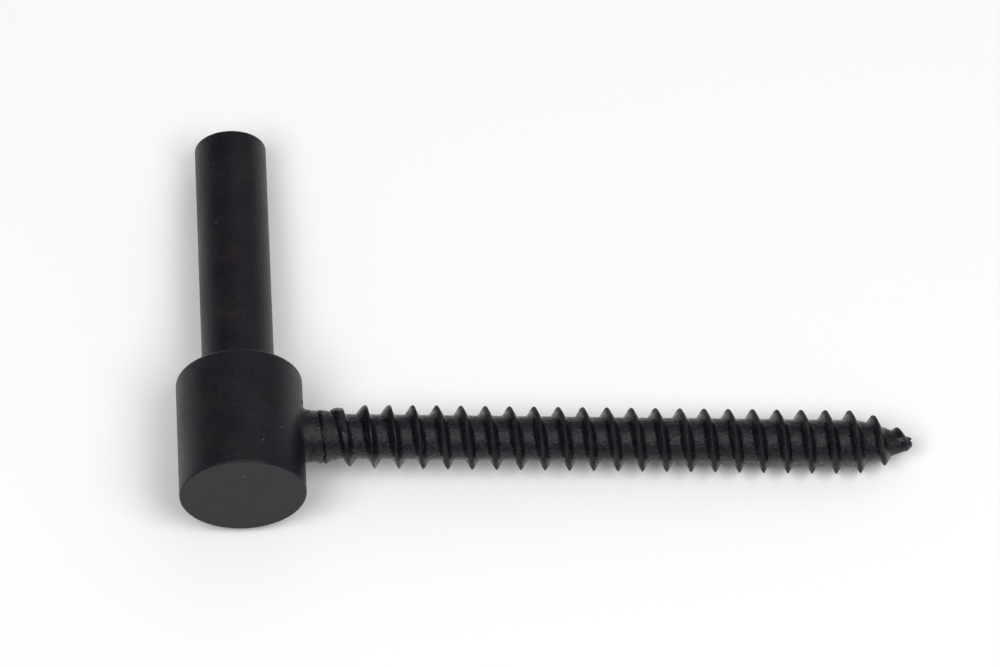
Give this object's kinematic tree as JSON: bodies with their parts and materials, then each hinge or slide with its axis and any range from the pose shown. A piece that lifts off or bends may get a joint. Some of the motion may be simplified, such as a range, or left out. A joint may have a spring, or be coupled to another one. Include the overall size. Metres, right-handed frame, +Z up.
{
  "type": "gate hinge pin",
  "caption": "Upright hinge pin turned on a stout barrel, with a coarse lag screw welded into the barrel's side, lying at rest.",
  "frame": {"origin": "on the upright pin's centre line, in the plane of the shoulder that the gate's eye sits on", "axes": "+Z up from the floor that the part lies on; the upright pin points along +Y and dips 5.4 degrees; the lag screw points along +X, dips 3.5 degrees and leans 1.6 degrees away from the pin"},
  "size_m": [0.129, 0.0742, 0.0242],
  "materials": {
    "black_coat": "satin black coat with a fine grain",
    "black_coat_screw": "satin black coat, thin on the crests",
    "black_coat_weld": "satin black coat over a smooth weld"
  },
  "bodies": {
    "root": {"pintle": "black_coat", "lag_screw": "black_coat_screw", "weld_bead": "black_coat_weld"}
  },
  "joints": []
}
